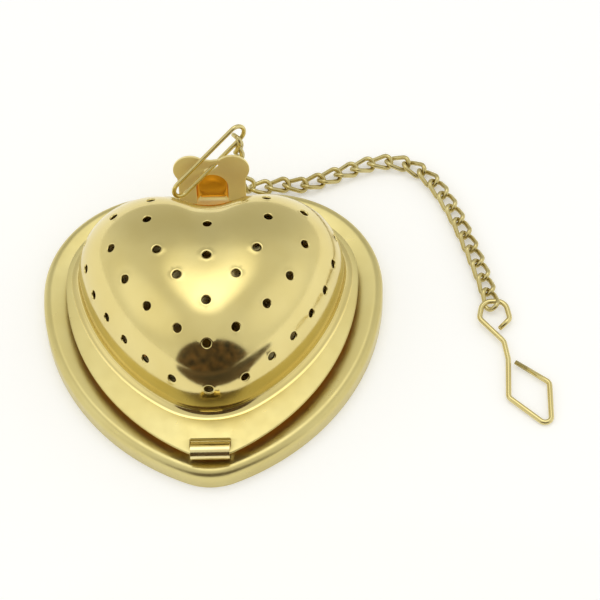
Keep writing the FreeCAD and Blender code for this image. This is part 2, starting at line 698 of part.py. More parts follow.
def make_latch_tab():
    body = new_body("latch_tab_body", "latch_tab")
    plate = sketch_on(body, "XZ_Plane", "tab_outline")
    half = dim("latch_half_width")
    right_ear = ear_arc(1)
    left_ear = ear_arc(-1)
    add_edges(plate, [
        Part.LineSegment(Vector(-half, 0, 0), Vector(half, 0, 0)),
        Part.LineSegment(Vector(half, 0, 0), right_ear.StartPoint),
        right_ear,
        Part.LineSegment(right_ear.EndPoint, left_ear.StartPoint),
        left_ear,
        Part.LineSegment(left_ear.EndPoint, Vector(-half, 0, 0)),
    ])
    foot, up = latch_frame()
    slope = math.atan2(LINK_RUN.dot(up), LINK_RUN.x)
    middle = Vector(0, dim("eyelet_height"), 0)
    run = Vector(math.cos(slope), math.sin(slope), 0)
    side = Vector(-run.y, run.x, 0)
    reach = dim("eyelet_half_length")
    end_radius = dim("eyelet_radius")
    ahead = middle + run * reach
    behind = middle - run * reach
    upright = Vector(0, 0, 1)
    add_edges(plate, [
        Part.LineSegment(behind - side * end_radius, ahead - side * end_radius),
        Part.ArcOfCircle(Part.Circle(ahead, upright, end_radius),
                         slope - math.pi / 2, slope + math.pi / 2),
        Part.LineSegment(ahead + side * end_radius, behind + side * end_radius),
        Part.ArcOfCircle(Part.Circle(behind, upright, end_radius),
                         slope + math.pi / 2, slope + 3 * math.pi / 2),
    ])
    tab = pad(body, plate, "tab_plate", "dims.gauge")
    tab.Midplane = True
    doc.recompute()
    volume = body.Shape.Volume
    back = sketch_on(body, "XZ_Plane", "pocket_outside")
    add_edges(back, arch_edges(dim("window_wall")))
    boss = pad(body, back, "pocket_boss", "dims.window_depth + dims.window_wall")
    boss.Reversed = True
    window = sketch_on(body, "XZ_Plane", "window_outline")
    raised(window, "dims.gauge / 2")
    add_edges(window, arch_edges(0.0))
    doc.recompute()
    if body.Shape.Volume < volume:
        raise RuntimeError("the pocket's outside added nothing")
    volume = body.Shape.Volume
    pocket(body, window, "window", "dims.window_depth + dims.gauge / 2", False)
    shrank(volume, body, "the latch window")
    body.Placement = Placement(foot, Rotation(Vector(1, 0, 0), -dim("latch_lean")))
    return body


# ---------------------------------------------------------------- wire pieces

def oval_edges(length, radius):
    """A closed oval of two straight sides and two round ends, its long axis along X."""
    reach = length / 2
    upright = Vector(0, 0, 1)
    return [
        Part.LineSegment(Vector(-reach, -radius, 0), Vector(reach, -radius, 0)),
        Part.ArcOfCircle(Part.Circle(Vector(reach, 0, 0), upright, radius), -math.pi / 2, math.pi / 2),
        Part.LineSegment(Vector(reach, radius, 0), Vector(-reach, radius, 0)),
        Part.ArcOfCircle(Part.Circle(Vector(-reach, 0, 0), upright, radius), math.pi / 2, 3 * math.pi / 2),
    ]


def oval_link(name, straight, radius, wire_alias):
    """A closed oval link of round wire, its middle at its own origin."""
    body = new_body(name + "_body", name)
    spine = sketch_on(body, "XY_Plane", name + "_spine")
    add_edges(spine, oval_edges(straight, radius))
    section = sketch_on(body, "YZ_Plane", name + "_section")
    section.addGeometry(Part.Circle(Vector(-radius, 0, 0), Vector(0, 0, 1), dim(wire_alias) / 2), False)
    number = section.addConstraint(Sketcher.Constraint("Diameter", 0, dim(wire_alias)))
    bind(section, f"Constraints[{number}]", f"dims.{wire_alias}")
    pipe = body.newObject("PartDesign::AdditivePipe", name + "_wire")
    pipe.Profile = section
    pipe.Spine = spine
    pipe.Mode = "Frenet"
    body.Tip = pipe
    return body


def turned_to(long_axis, cross_axis):
    """The rotation that takes X to the long axis and Y to the cross axis."""
    x_axis = Vector(long_axis).normalize()
    z_axis = x_axis.cross(cross_axis).normalize()
    y_axis = z_axis.cross(x_axis)
    return Rotation(x_axis, y_axis, z_axis, "ZXY")


def make_hanger_link():
    straight = dim("hanger_back") + dim("hanger_ahead")
    radius = dim("hanger_end_radius")
    body = oval_link("hanger_link", straight, radius, "hanger_wire")
    foot, up = latch_frame()
    eyelet = foot + up * dim("eyelet_height")
    across = (up - LINK_RUN * up.dot(LINK_RUN)).normalize()
    middle = eyelet + LINK_RUN * ((dim("hanger_ahead") - dim("hanger_back")) / 2) + across * radius
    body.Placement = Placement(middle, turned_to(LINK_RUN, across))
    return body


def make_chain():
    """Oval links along the route, each a quarter turn from the last.

    On the table they lean left and right by turns; in the drop they face left and right."""
    points = [Vector(*p) for p in CHAIN_ROUTE]
    inner_knots = len(points) - 3
    curve = Part.BSplineCurve()
    curve.buildFromPolesMultsKnots(points, [3] + [1] * inner_knots + [3],
                                   [float(k) for k in range(inner_knots + 2)], False, 2)
    total = curve.length()
    count = int(round(total / dim("chain_pitch"))) + 1
    step = total / (count - 1)
    wire = dim("chain_wire")
    radius = (dim("chain_link_width") - wire) / 2
    straight = dim("chain_link_length") - wire - 2 * radius
    links = []
    for index in range(count):
        where = curve.parameterAtDistance(index * step, curve.FirstParameter)
        tangent = Vector(*curve.tangent(where)[0]).normalize()
        heading = Vector(tangent.x, tangent.y, 0)
        if heading.Length < DROP_HEADING:
            heading = Vector(1, 0, 0)
        left = Vector(0, 0, 1).cross(heading).normalize()
        above = tangent.cross(left).normalize()
        sign = 1 if index % 2 else -1
        normal = (above + tangent.cross(above) * sign).normalize()
        link = oval_link(f"chain_link_{index + 1:02d}", straight, radius, "chain_wire")
        link.Placement = Placement(curve.value(where), turned_to(tangent, normal.cross(tangent)))
        links.append(link)
    print(f"chain: {count} links, {total:.1f} mm from first to last, step {step:.3f}")
    return links


def rounded_path(bends):
    """Lines and tangent arcs through the bends' points."""
    points = [Vector(x, y, 0) for x, y, _ in bends]
    edges = []
    start = points[0]
    for index in range(1, len(points) - 1):
        before, corner, after = points[index - 1], points[index], points[index + 1]
        back = (before - corner).normalize()
        ahead = (after - corner).normalize()
        half_turn = (math.pi - back.getAngle(ahead)) / 2
        cut = bends[index][2] * math.tan(half_turn)
        enter = corner + back * cut
        leave = corner + ahead * cut
        bisector = (back + ahead).normalize()
        centre = corner + bisector * (bends[index][2] / math.cos(half_turn))
        middle = centre - bisector * bends[index][2]
        if start.distanceToPoint(enter) > 1e-4:
            edges.append(Part.LineSegment(start, enter))
        edges.append(Part.Arc(enter, middle, leave))
        start = leave
    edges.append(Part.LineSegment(start, points[-1]))
    return edges


def make_hook():
    body = new_body("hook_body", "hook")
    spine = sketch_on(body, "XY_Plane", "hook_spine")
    add_edges(spine, rounded_path(HOOK_BENDS))
    start = Vector(*HOOK_BENDS[0][:2], 0)
    towards = Vector(*HOOK_BENDS[1][:2], 0) - start
    heading = math.degrees(math.atan2(towards.y, towards.x))
    section = sketch_on(body, "XY_Plane", "hook_section")
    upright = Rotation(Vector(0, 0, 1), heading).multiply(Rotation(Vector(0, 1, 0), 90))
    section.AttachmentOffset = Placement(start, upright)
    section.addGeometry(Part.Circle(Vector(0, 0, 0), Vector(0, 0, 1), dim("hook_wire") / 2), False)
    number = section.addConstraint(Sketcher.Constraint("Diameter", 0, dim("hook_wire")))
    bind(section, f"Constraints[{number}]", "dims.hook_wire")
    pipe = body.newObject("PartDesign::AdditivePipe", "hook_wire_pipe")
    pipe.Profile = section
    pipe.Spine = spine
    body.Tip = pipe
    body.Placement = Placement(HOOK_EYE_TOP, Rotation(Vector(1, 0, 0), dim("hook_tilt")))
    return body


# ---------------------------------------------------------------- build and write

sub_parts = [
    make_drip_tray(),
    make_lower_shell(),
    make_upper_shell(),
    make_latch_tab(),
    make_hanger_link(),
    make_hook(),
]
sub_parts.extend(make_chain())
doc.recompute()

for obj in doc.Objects:
    if "Invalid" in obj.State or "Error" in obj.State:
        raise RuntimeError(f"{obj.Name} failed: {obj.State}")
for part in sub_parts:
    if part.Shape.isNull() or not part.Shape.isValid():
        raise RuntimeError(f"{part.Label} has no valid shape")

os.makedirs("parts", exist_ok=True)
for part in sub_parts:
    part.Shape.exportStep(f"parts/{part.Label}.step")
    box = part.Shape.BoundBox
    print(f"{part.Label}: {len(part.Shape.Solids)} solid, {part.Shape.Volume:.2f} mm3, "
          f"x {box.XMin:.2f}..{box.XMax:.2f} y {box.YMin:.2f}..{box.YMax:.2f} "
          f"z {box.ZMin:.2f}..{box.ZMax:.2f}")
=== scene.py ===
import json
import math
import random

import bpy
import numpy as np
from mathutils import Matrix, Vector
from mathutils.geometry import delaunay_2d_cdt


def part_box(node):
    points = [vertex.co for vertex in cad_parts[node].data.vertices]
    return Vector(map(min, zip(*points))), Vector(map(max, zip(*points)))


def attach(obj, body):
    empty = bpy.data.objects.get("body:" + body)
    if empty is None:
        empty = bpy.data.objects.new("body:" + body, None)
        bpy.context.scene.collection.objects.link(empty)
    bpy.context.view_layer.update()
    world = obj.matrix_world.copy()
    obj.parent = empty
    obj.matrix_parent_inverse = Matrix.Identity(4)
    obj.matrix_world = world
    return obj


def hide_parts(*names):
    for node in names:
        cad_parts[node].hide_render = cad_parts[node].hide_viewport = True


# A heart-shaped tea infuser of gold-coloured sheet on its drip tray, with its chain and hook.
# Shapes are worked out in millimetres, in the frame's axes, and scaled to metres as meshes.

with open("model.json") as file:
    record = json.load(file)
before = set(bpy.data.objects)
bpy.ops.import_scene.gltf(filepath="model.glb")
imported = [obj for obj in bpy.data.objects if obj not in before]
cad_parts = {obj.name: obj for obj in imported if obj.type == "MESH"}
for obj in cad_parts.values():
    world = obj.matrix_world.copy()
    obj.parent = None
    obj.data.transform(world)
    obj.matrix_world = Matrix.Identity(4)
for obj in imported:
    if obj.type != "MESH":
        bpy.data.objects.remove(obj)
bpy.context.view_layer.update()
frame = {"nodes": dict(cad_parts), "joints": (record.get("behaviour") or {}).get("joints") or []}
MM = 0.001


def box_mm(node):
    low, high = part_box(node)
    return low / MM, high / MM


def joint_mm(name):
    joint = next(j for j in frame["joints"] if j["name"] == name)
    return Vector(joint["pos_m"]) / MM


TRAY_LOW, TRAY_HIGH = box_mm("drip_tray")
LID_LOW, LID_HIGH = box_mm("upper_shell")
HINGE = joint_mm("lid_hinge")
LATCH = joint_mm("latch_flex")
HOOK_TOP = joint_mm("hook_swivel")
LOBE_LINE = 9.5

# ------------------------------------------------------------------ camera

CAMERA_PLACE = Vector((21.09, -249.53, 368.62))
CAMERA_FORWARD = Vector((-0.01288, 0.57343, -0.81915))
CAMERA_UP = Vector((0.02060, 0.81920, 0.57314))
CAMERA_LENS = 151.87


def make_camera():
    data = bpy.data.cameras.new("camera")
    data.lens = CAMERA_LENS
    data.sensor_width = 36.0
    data.clip_start = 0.01
    data.clip_end = 20.0
    camera = bpy.data.objects.new("camera", data)
    bpy.context.scene.collection.objects.link(camera)
    back = -CAMERA_FORWARD.normalized()
    right = CAMERA_UP.cross(back).normalized()
    up = back.cross(right)
    turn = Matrix((right, up, back)).transposed().to_4x4()
    camera.matrix_world = Matrix.Translation(CAMERA_PLACE * MM) @ turn
    bpy.context.scene.camera = camera


make_camera()

# ------------------------------------------------------------------ mesh helpers


def add_piece(name, points, faces, materials, body, face_materials=None):
    """A mesh object from points in millimetres, which rides on a body."""
    mesh = bpy.data.meshes.new(name)
    mesh.from_pydata([tuple(p * MM for p in point) for point in points], [], faces)
    mesh.validate()
    for material in materials:
        mesh.materials.append(material)
    if face_materials:
        mesh.polygons.foreach_set("material_index", face_materials)
    mesh.shade_smooth()
    mesh.update()
    piece = bpy.data.objects.new(name, mesh)
    bpy.context.scene.collection.objects.link(piece)
    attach(piece, body)
    return piece


class Builder:
    """Collects points and faces of one piece."""

    def __init__(self):
        self.points = []
        self.faces = []
        self.kinds = []

    def add_points(self, points):
        start = len(self.points)
        self.points.extend(tuple(p) for p in points)
        return list(range(start, len(self.points)))

    def add_face(self, corners, kind=0, flip=False):
        self.faces.append(tuple(reversed(corners)) if flip else tuple(corners))
        self.kinds.append(kind)

    def bridge(self, lower, upper, kind=0, flip=False):
        """Quads between two closed loops of the same length."""
        count = len(lower)
        for i in range(count):
            j = (i + 1) % count
            self.add_face((lower[i], lower[j], upper[j], upper[i]), kind, flip)

    def fill(self, loops, place, kind=0, flip=False):
        """Flat triangles between closed loops of indices; the first loop is the outer one."""
        flat = [[Vector(place(self.points[i])) for i in loop] for loop in loops]
        corners = [p for loop in flat for p in loop]
        owners = [i for loop in loops for i in loop]
        edges = []
        start = 0
        for loop in loops:
            count = len(loop)
            edges.extend((start + i, start + (i + 1) % count) for i in range(count))
            start += count
        found = delaunay_2d_cdt(corners, edges, [], 0, 1e-7)
        for face in found[2]:
            if len(face) != 3:
                continue
            middle = sum((found[0][i] for i in face), Vector((0, 0))) / 3
            if not inside(middle, flat[0]):
                continue
            if any(inside(middle, hole) for hole in flat[1:]):
                continue
            originals = [found[3][i] for i in face]
            if all(originals):
                self.add_face([owners[o[0]] for o in originals], kind, flip)


def inside(point, loop):
    """Whether a flat point is inside a closed loop of flat points."""
    hit = False
    for a, b in zip(loop, loop[1:] + loop[:1]):
        if (a.y > point.y) != (b.y > point.y):
            if point.x < a.x + (point.y - a.y) * (b.x - a.x) / (b.y - a.y):
                hit = not hit
    return hit


def flat_xy(point):
    return (point[0], point[1])


def loop_normals(loop):
    """Outward unit normals of a flat counter-clockwise loop of (x, y)."""
    normals = []
    count = len(loop)
    for i in range(count):
        ahead = Vector(loop[(i + 1) % count]) - Vector(loop[i - 1])
        normals.append(Vector((ahead.y, -ahead.x)).normalized())
    return normals


def offset_loop(loop, distance):
    return [Vector(p) + n * distance for p, n in zip(loop, loop_normals(loop))]


# ------------------------------------------------------------------ hearts


def heart_arcs(half, lobe_radius, tip_radius, tip_centre, cleft_radius, side_radius=None):
    """The right half of a heart, tip to cleft: (centre, radius, start, end, outward sign)."""
    offset = half - lobe_radius
    lobe = Vector((offset, LOBE_LINE))
    tip = Vector((0.0, tip_centre))
    cleft = Vector((0.0, LOBE_LINE + math.sqrt((lobe_radius + cleft_radius) ** 2 - offset ** 2)))
    if side_radius is None:
        drop = LOBE_LINE - tip_centre
        side_radius = (half ** 2 + drop ** 2 - tip_radius ** 2) / (2 * (half - tip_radius))
    to_lobe = side_radius - lobe_radius
    to_tip = side_radius - tip_radius
    apart = (tip - lobe).length
    along = (to_lobe ** 2 - to_tip ** 2 + apart ** 2) / (2 * apart)
    away = math.sqrt(max(to_lobe ** 2 - along ** 2, 0.0))
    step = (tip - lobe).normalized()
    side = lobe + step * along + Vector((step.y, -step.x)) * away
    meet_tip = math.atan2(tip.y - side.y, tip.x - side.x)
    meet_lobe = math.atan2(lobe.y - side.y, lobe.x - side.x)
    meet_cleft = math.atan2(cleft.y - lobe.y, cleft.x - lobe.x)
    return [
        (tip, tip_radius, -math.pi / 2, meet_tip, 1),
        (side, side_radius, meet_tip, meet_lobe, 1),
        (lobe, lobe_radius, meet_lobe, meet_cleft, 1),
        (cleft, cleft_radius, meet_cleft - math.pi, -math.pi / 2, -1),
    ]


def heart_rim(arcs, count):
    """Points at equal steps round the whole heart from its tip, and their outward normals."""
    lengths = [abs(arc[3] - arc[2]) * arc[1] for arc in arcs]
    half = sum(lengths)
    rim = []
    for index in range(count):
        travelled = 2 * half * index / count
        mirrored = travelled > half
        left = 2 * half - travelled if mirrored else travelled
        for arc, length in zip(arcs, lengths):
            if left <= length or arc is arcs[-1]:
                break
            left -= length
        centre, radius, start, end, sign = arc
        angle = start + (end - start) * min(left / length, 1.0)
        outward = Vector((math.cos(angle), math.sin(angle)))
        point = centre + outward * radius
        normal = outward * sign
        if mirrored:
            point.x, normal.x = -point.x, -normal.x
        rim.append((point, normal))
    return rim


# ------------------------------------------------------------------ materials


def main_shader(material):
    return next(n for n in material.node_tree.nodes if n.type == "BSDF_PRINCIPLED")


def new_material(name):
    material = bpy.data.materials.new(name)
    material.use_nodes = True
    return material, material.node_tree, main_shader(material)


def node(tree, kind, **values):
    made = tree.nodes.new(kind)
    for key, value in values.items():
        setattr(made, key, value)
    return made


def noise(tree, coords, scale, detail, stretch=None):
    """A noise texture over the object's own coordinates, its scale in cycles per millimetre."""
    mapping = node(tree, "ShaderNodeMapping")
    size = scale / MM
    stretch = stretch or (1.0, 1.0, 1.0)
    mapping.inputs["Scale"].default_value = [size * s for s in stretch]
    tree.links.new(coords, mapping.inputs["Vector"])
    made = node(tree, "ShaderNodeTexNoise")
    made.inputs["Scale"].default_value = 1.0
    made.inputs["Detail"].default_value = detail
    tree.links.new(mapping.outputs["Vector"], made.inputs["Vector"])
    return made.outputs["Fac"]


def ramp(tree, value, low, high):
    made = node(tree, "ShaderNodeMapRange")
    made.inputs["From Min"].default_value = 0.3
    made.inputs["From Max"].default_value = 0.7
    made.inputs["To Min"].default_value = low
    made.inputs["To Max"].default_value = high
    tree.links.new(value, made.inputs["Value"])
    return made.outputs["Result"]


def gold(name, colour, shade, rough, grain, wave, dents):
    """Gold-coloured plating: patchy tone, uneven polish, fine grain and slow waves in the sheet.

    rough is (low, high); grain, wave and dents are bump heights in millimetres."""
    material, tree, shader = new_material(name)
    coords = node(tree, "ShaderNodeTexCoord").outputs["Object"]
    shader.inputs["Metallic"].default_value = 1.0
    mix = node(tree, "ShaderNodeMix", data_type="RGBA")
    mix.inputs["A"].default_value = (*colour, 1.0)
    mix.inputs["B"].default_value = (*shade, 1.0)
    patches = noise(tree, coords, 0.09, 3.0)
    tree.links.new(ramp(tree, patches, 0.0, 1.0), mix.inputs["Factor"])
    tree.links.new(mix.outputs["Result"], shader.inputs["Base Color"])
    polish = noise(tree, coords, 0.45, 5.0)
    tree.links.new(ramp(tree, polish, *rough), shader.inputs["Roughness"])
    normal = None
    for height, scale, detail, stretch in (
        (dents, 0.12, 1.0, None),
        (wave, 0.9, 2.0, None),
        (grain, 9.0, 4.0, (1.0, 0.25, 1.0)),
    ):
        if not height:
            continue
        bump = node(tree, "ShaderNodeBump")
        bump.inputs["Strength"].default_value = 1.0
        bump.inputs["Distance"].default_value = height * MM
        tree.links.new(noise(tree, coords, scale, detail, stretch), bump.inputs["Height"])
        if normal is not None:
            tree.links.new(normal, bump.inputs["Normal"])
        normal = bump.outputs["Normal"]
    tree.links.new(normal, shader.inputs["Normal"])
    return material


MIRROR_GOLD = gold("mirror_gold", (0.80, 0.68, 0.30), (0.74, 0.61, 0.24), (0.10, 0.17),
                   0.0006, 0.002, 0.03)
SATIN_GOLD = gold("satin_gold", (0.70, 0.61, 0.27), (0.65, 0.55, 0.22), (0.27, 0.36),
                  0.0022, 0.002, 0.02)
# Painted bounce light: the tab's gold, with the ledge and lip of its niche, glows faintly.
TAB_BOUNCE_GLOW = gold("tab_bounce_glow", (0.90, 0.80, 0.44), (0.84, 0.73, 0.36), (0.46, 0.56),
                0.0015, 0.002, 0.01)
# Painted shade and painted bounce light: deep orange gold with a faint glow inside the tab's
# pressed niche, where light bounces between gold walls.
NICHE_PAINTED_SHADE = gold("niche_painted_shade", (0.86, 0.50, 0.09), (0.78, 0.38, 0.05), (0.14, 0.22),
                  0.0010, 0.002, 0.006)
# Painted shade and painted bounce light: a darker orange gold with a faint glow for the lowest
# part of the tray's well, under the infuser.
WELL_PAINTED_SHADE = gold("well_painted_shade", (0.72, 0.46, 0.15), (0.60, 0.34, 0.09), (0.26, 0.38),
                  0.0020, 0.002, 0.01)
# Painted bounce light: a warmer gold with a faint glow for the tray's slope down into its well,
# under the infuser's flange.
SLOPE_PAINTED_BOUNCE = gold("slope_painted_bounce", (0.78, 0.62, 0.26), (0.70, 0.52, 0.18), (0.26, 0.36),
                  0.0020, 0.002, 0.01)
LOWER_GOLD = gold("lower_gold", (0.90, 0.79, 0.42), (0.82, 0.68, 0.32), (0.14, 0.22),
                  0.0015, 0.002, 0.01)
WIRE_GOLD = gold("wire_gold", (0.74, 0.64, 0.30), (0.68, 0.56, 0.23), (0.16, 0.26),
                 0.0010, 0.0015, 0.004)
CHAIN_GOLD = gold("chain_gold", (0.66, 0.57, 0.27), (0.56, 0.46, 0.19), (0.18, 0.32),
                  0.0015, 0.002, 0.004)


def add_bounce_glow(material, colour, strength):
    """A faint glow, for the light that bounces many times between two gold sheets."""
    shader = main_shader(material)
    shader.inputs["Emission Color"].default_value = (*colour, 1.0)
    shader.inputs["Emission Strength"].default_value = strength


# Painted bounce light: faint glows on the tray's well, the tab and its niche, which are no lamps.
add_bounce_glow(WELL_PAINTED_SHADE, (0.50, 0.22, 0.04), 0.32)
add_bounce_glow(SLOPE_PAINTED_BOUNCE, (0.52, 0.34, 0.08), 0.22)
add_bounce_glow(NICHE_PAINTED_SHADE, (0.60, 0.24, 0.02), 0.05)
add_bounce_glow(TAB_BOUNCE_GLOW, (0.80, 0.68, 0.34), 0.12)

# ------------------------------------------------------------------ drip tray

RIM_COUNT = 288
TRAY_GAUGE = 0.5
WELL_RING = 20  # the ring of the tray's section where its well begins
# heights in millimetres under which faces of the well take painted bounce light, then painted
# shade
BOUNCE_GLOW_HEIGHT = 2.9
PAINTED_SHADE_HEIGHT = 1.5
TRAY_HEART = heart_arcs(TRAY_HIGH.x, 20.5, 10.5, TRAY_LOW.y + 10.5, 6.0)


def arc_profile(centre, radius, start, end, steps):
    """Points (inset, z) on an arc; angles in degrees, 0 towards the heart's middle."""
    points = []
    for index in range(steps + 1):
        angle = math.radians(start + (end - start) * index / steps)
        points.append((centre[0] + radius * math.cos(angle), centre[1] + radius * math.sin(angle)))
    return points


def tray_profile():
    """The tray's section as (inset from the rim, z), up over the rim and down to the floor."""
    top = TRAY_HIGH.z
    skirt = arc_profile((0.16, 0.16), 0.16, 270, 180, 3)
    shoulder = arc_profile((1.5, top - 1.5), 1.5, 180, 84, 12)
    edge = arc_profile((5.45, 2.85), 0.75, 78, 26, 6)
    foot = arc_profile((8.5, 1.4), 0.8, 206, 270, 5)
    return skirt + shoulder + edge + foot


def make_tray():
    rim = heart_rim(TRAY_HEART, RIM_COUNT)
    profile = tray_profile()
    build = Builder()
    upper = []
    for inset, height in profile:
        upper.append(build.add_points((*(p - n * inset), height) for p, n in rim))
    lower = []
    section = [Vector(p) for p in profile]
    for index, point in enumerate(section):
        ahead = section[min(index + 1, len(section) - 1)] - section[max(index - 1, 0)]
        under = Vector((ahead.y, -ahead.x)).normalized()
        inset = max(point.x + under.x * TRAY_GAUGE, 0.02)
        height = max(point.y + under.y * TRAY_GAUGE, 0.0)
        lower.append(build.add_points((*(p - n * inset), height) for p, n in rim))
    for first, second in zip(upper, upper[1:]):
        build.bridge(first, second)
    for first, second in zip(lower, lower[1:]):
        build.bridge(first, second, flip=True)
    build.bridge(lower[0], upper[0])
    build.fill([upper[-1]], flat_xy)
    build.fill([lower[-1]], flat_xy, flip=True)
    # Painted shade and bounce light: the lower a face of the well, the more orange its gold, with
    # a faint glow; the lowest faces are darker; the rim keeps the satin gold.
    kinds = []
    for face in build.faces:
        well = face[0] > upper[WELL_RING][0] and max(face) < lower[0][0]
        height = min(build.points[i][2] for i in face)
        kinds.append(well * (int(height < BOUNCE_GLOW_HEIGHT) + int(height < PAINTED_SHADE_HEIGHT)))
    piece = add_piece("drip_tray_shell", build.points, build.faces,
                      [SATIN_GOLD, SLOPE_PAINTED_BOUNCE, WELL_PAINTED_SHADE], "tray", kinds)
    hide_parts("drip_tray")


make_tray()

# ------------------------------------------------------------------ dome

CROWN = Vector((0.0, 1.0))
SHEET = 0.5
FLANGE_BASE = LID_LOW.z + 0.02
FLANGE_TOP = FLANGE_BASE + SHEET
FILLET = 1.5
WALL_START = FLANGE_TOP + FILLET
DOME_TOP = LID_HIGH.z
FULLNESS = 2.8
ROUNDNESS = 2.1
DOME_HEART = heart_arcs(10.9 + 12.4, 12.4, 12.6, -6.3, 12.0, 36.5)
# places of the holes in the plan; those beside the line of symmetry are mirrored
DOME_HOLES = [
    (0.0, -18.3), (6.2, -16.4), (10.7, -12.8), (14.4, -8.9), (17.5, -4.4), (19.9, 0.4),
    (21.4, 5.7), (21.8, 11.8), (19.3, 17.0), (14.6, 20.1), (9.0, 20.4), (3.8, 18.2),
    (0.0, -13.9), (4.9, -11.3), (10.1, -6.7), (14.0, -1.0), (16.6, 5.8), (16.5, 13.4),
    (10.0, 16.1),
    (0.0, -7.3), (5.0, -2.2), (8.5, 3.2), (10.4, 10.3), (0.0, 8.5), (0.0, 1.5),
]
HOLE_RADIUS = 0.75
HOLE_CLEAR = 1.45  # no points of the plain mesh come this near to a hole's centre
TURNS = 720
RIM_SAMPLES = 2880
SMOOTH_REACH = 12
SMOOTH_WIDTH = 4.5
MEAN_REACH = 24.0


def polar_heart():
    """The dome heart's radius about the crown at even angles, with its curvature smoothed."""
    rim = heart_rim(DOME_HEART, RIM_SAMPLES)
    angles = []
    radii = []
    for point, _ in rim:
        arm = point - CROWN
        angles.append(math.atan2(arm.y, arm.x) % (2 * math.pi))
        radii.append(arm.length)
    order = np.argsort(angles)
    angles = np.array(angles)[order]
    radii = np.array(radii)[order]
    even = np.arange(TURNS) * 2 * math.pi / TURNS
    table = np.interp(even, angles, radii, period=2 * math.pi)
    window = np.exp(-0.5 * (np.arange(-SMOOTH_REACH, SMOOTH_REACH + 1) / SMOOTH_WIDTH) ** 2)
    window /= window.sum()
    padded = np.concatenate([table[-SMOOTH_REACH:], table, table[:SMOOTH_REACH]])
    return even, np.convolve(padded, window, mode="valid")


EVEN, RADII = polar_heart()


def heart_radius(angle):
    return float(np.interp(angle % (2 * math.pi), EVEN, RADII, period=2 * math.pi))


def puff(scale):
    return max(1 - scale ** FULLNESS, 0.0) ** (1 / ROUNDNESS)


def scale_table():
    """How the share of the way from the crown to the wall maps to the heart's scale."""
    scales = 1 - np.linspace(0, 1, 4001) ** 2.5
    heights = np.array([puff(s) for s in scales]) * (DOME_TOP - WALL_START)
    steps = np.hypot(np.diff(scales) * MEAN_REACH, np.diff(heights))
    run = np.concatenate([[0.0], np.cumsum(steps)])
    return 1 - run / run[-1], scales


WAYS, SCALES = scale_table()


def way_to_scale(way):
    return float(np.interp(way, WAYS[::-1], SCALES[::-1]))


def scale_to_way(scale):
    return float(np.interp(scale, SCALES[::-1], WAYS[::-1]))


def on_dome(flat):
    """The point of the dome's outside for a point of its flattened map."""
    distance = math.hypot(flat[0], flat[1])
    if distance < 1e-9:
        return Vector((CROWN.x, CROWN.y, DOME_TOP))
    angle = math.atan2(flat[1], flat[0])
    reach = heart_radius(angle)
    scale = way_to_scale(min(distance / reach, 1.0))
    height = WALL_START + (DOME_TOP - WALL_START) * puff(scale)
    return Vector((CROWN.x + scale * reach * math.cos(angle),
                   CROWN.y + scale * reach * math.sin(angle), height))


def dome_slopes(flat):
    step = 0.02
    shrink = 1.0
    reach = heart_radius(math.atan2(flat[1], flat[0]))
    if math.hypot(flat[0], flat[1]) > reach - 2 * step:
        shrink = (reach - 2 * step) / math.hypot(flat[0], flat[1])
    x, y = flat[0] * shrink, flat[1] * shrink
    along_x = (on_dome((x + step, y)) - on_dome((x - step, y))) / (2 * step)
    along_y = (on_dome((x, y + step)) - on_dome((x, y - step))) / (2 * step)
    return along_x, along_y


def dome_normal(flat):
    along_x, along_y = dome_slopes(flat)
    return along_x.cross(along_y).normalized()


def plan_to_map(plan):
    arm = Vector(plan) - CROWN
    angle = math.atan2(arm.y, arm.x)
    reach = heart_radius(angle)
    way = scale_to_way(min(arm.length / reach, 1.0))
    return Vector((math.cos(angle), math.sin(angle))) * way * reach


def hole_places():
    places = []
    for x, y in DOME_HOLES:
        places.append(plan_to_map((x, y)))
        if x > 0:
            places.append(plan_to_map((-x, y)))
    return places


def hole_frame(flat):
    """Turns a distance along the surface into a distance on the map, near a hole."""
    along_x, along_y = dome_slopes(flat)
    normal = along_x.cross(along_y).normalized()
    first = along_x.normalized()
    second = normal.cross(first)
    jacobian = Matrix(((along_x.dot(first), along_y.dot(first)),
                       (along_x.dot(second), along_y.dot(second))))
    return jacobian.inverted()


# (radius, how far the surface is pushed in) from a hole's edge outwards
HOLE_LIP = [(0.75, 0.20), (0.775, 0.09), (0.83, 0.02), (0.92, -0.025), (1.10, 0.0)]
HOLE_SIDES = 24
MAP_RINGS = 48


def dome_map():
    """Points of the flattened dome, each with how far it is pushed in, and its loops."""
    points = []
    pushes = []
    holes = []
    for centre in hole_places():
        to_map = hole_frame(centre)
        loops = []
        for radius, push in HOLE_LIP:
            start = len(points)
            for side in range(HOLE_SIDES):
                angle = 2 * math.pi * side / HOLE_SIDES
                step = to_map @ Vector((math.cos(angle), math.sin(angle)))
                points.append(centre + step * radius)
                pushes.append(push)
            loops.append(list(range(start, len(points))))
        holes.append((centre, to_map.inverted(), loops))
    outer = []
    for ring in range(MAP_RINGS, -1, -1):
        count = max(6 * ring, 1)
        for index in range(count):
            angle = -math.pi / 2 + 2 * math.pi * index / count
            reach = heart_radius(angle) * ring / MAP_RINGS
            flat = Vector((math.cos(angle), math.sin(angle))) * reach
            near = any((flat - c).length < 3.0 and (m @ (flat - c)).length < HOLE_CLEAR
                       for c, m, _ in holes)
            if near and ring < MAP_RINGS:
                continue
            if ring == MAP_RINGS:
                outer.append(len(points))
            points.append(flat)
            pushes.append(0.0)
    return points, pushes, holes, outer


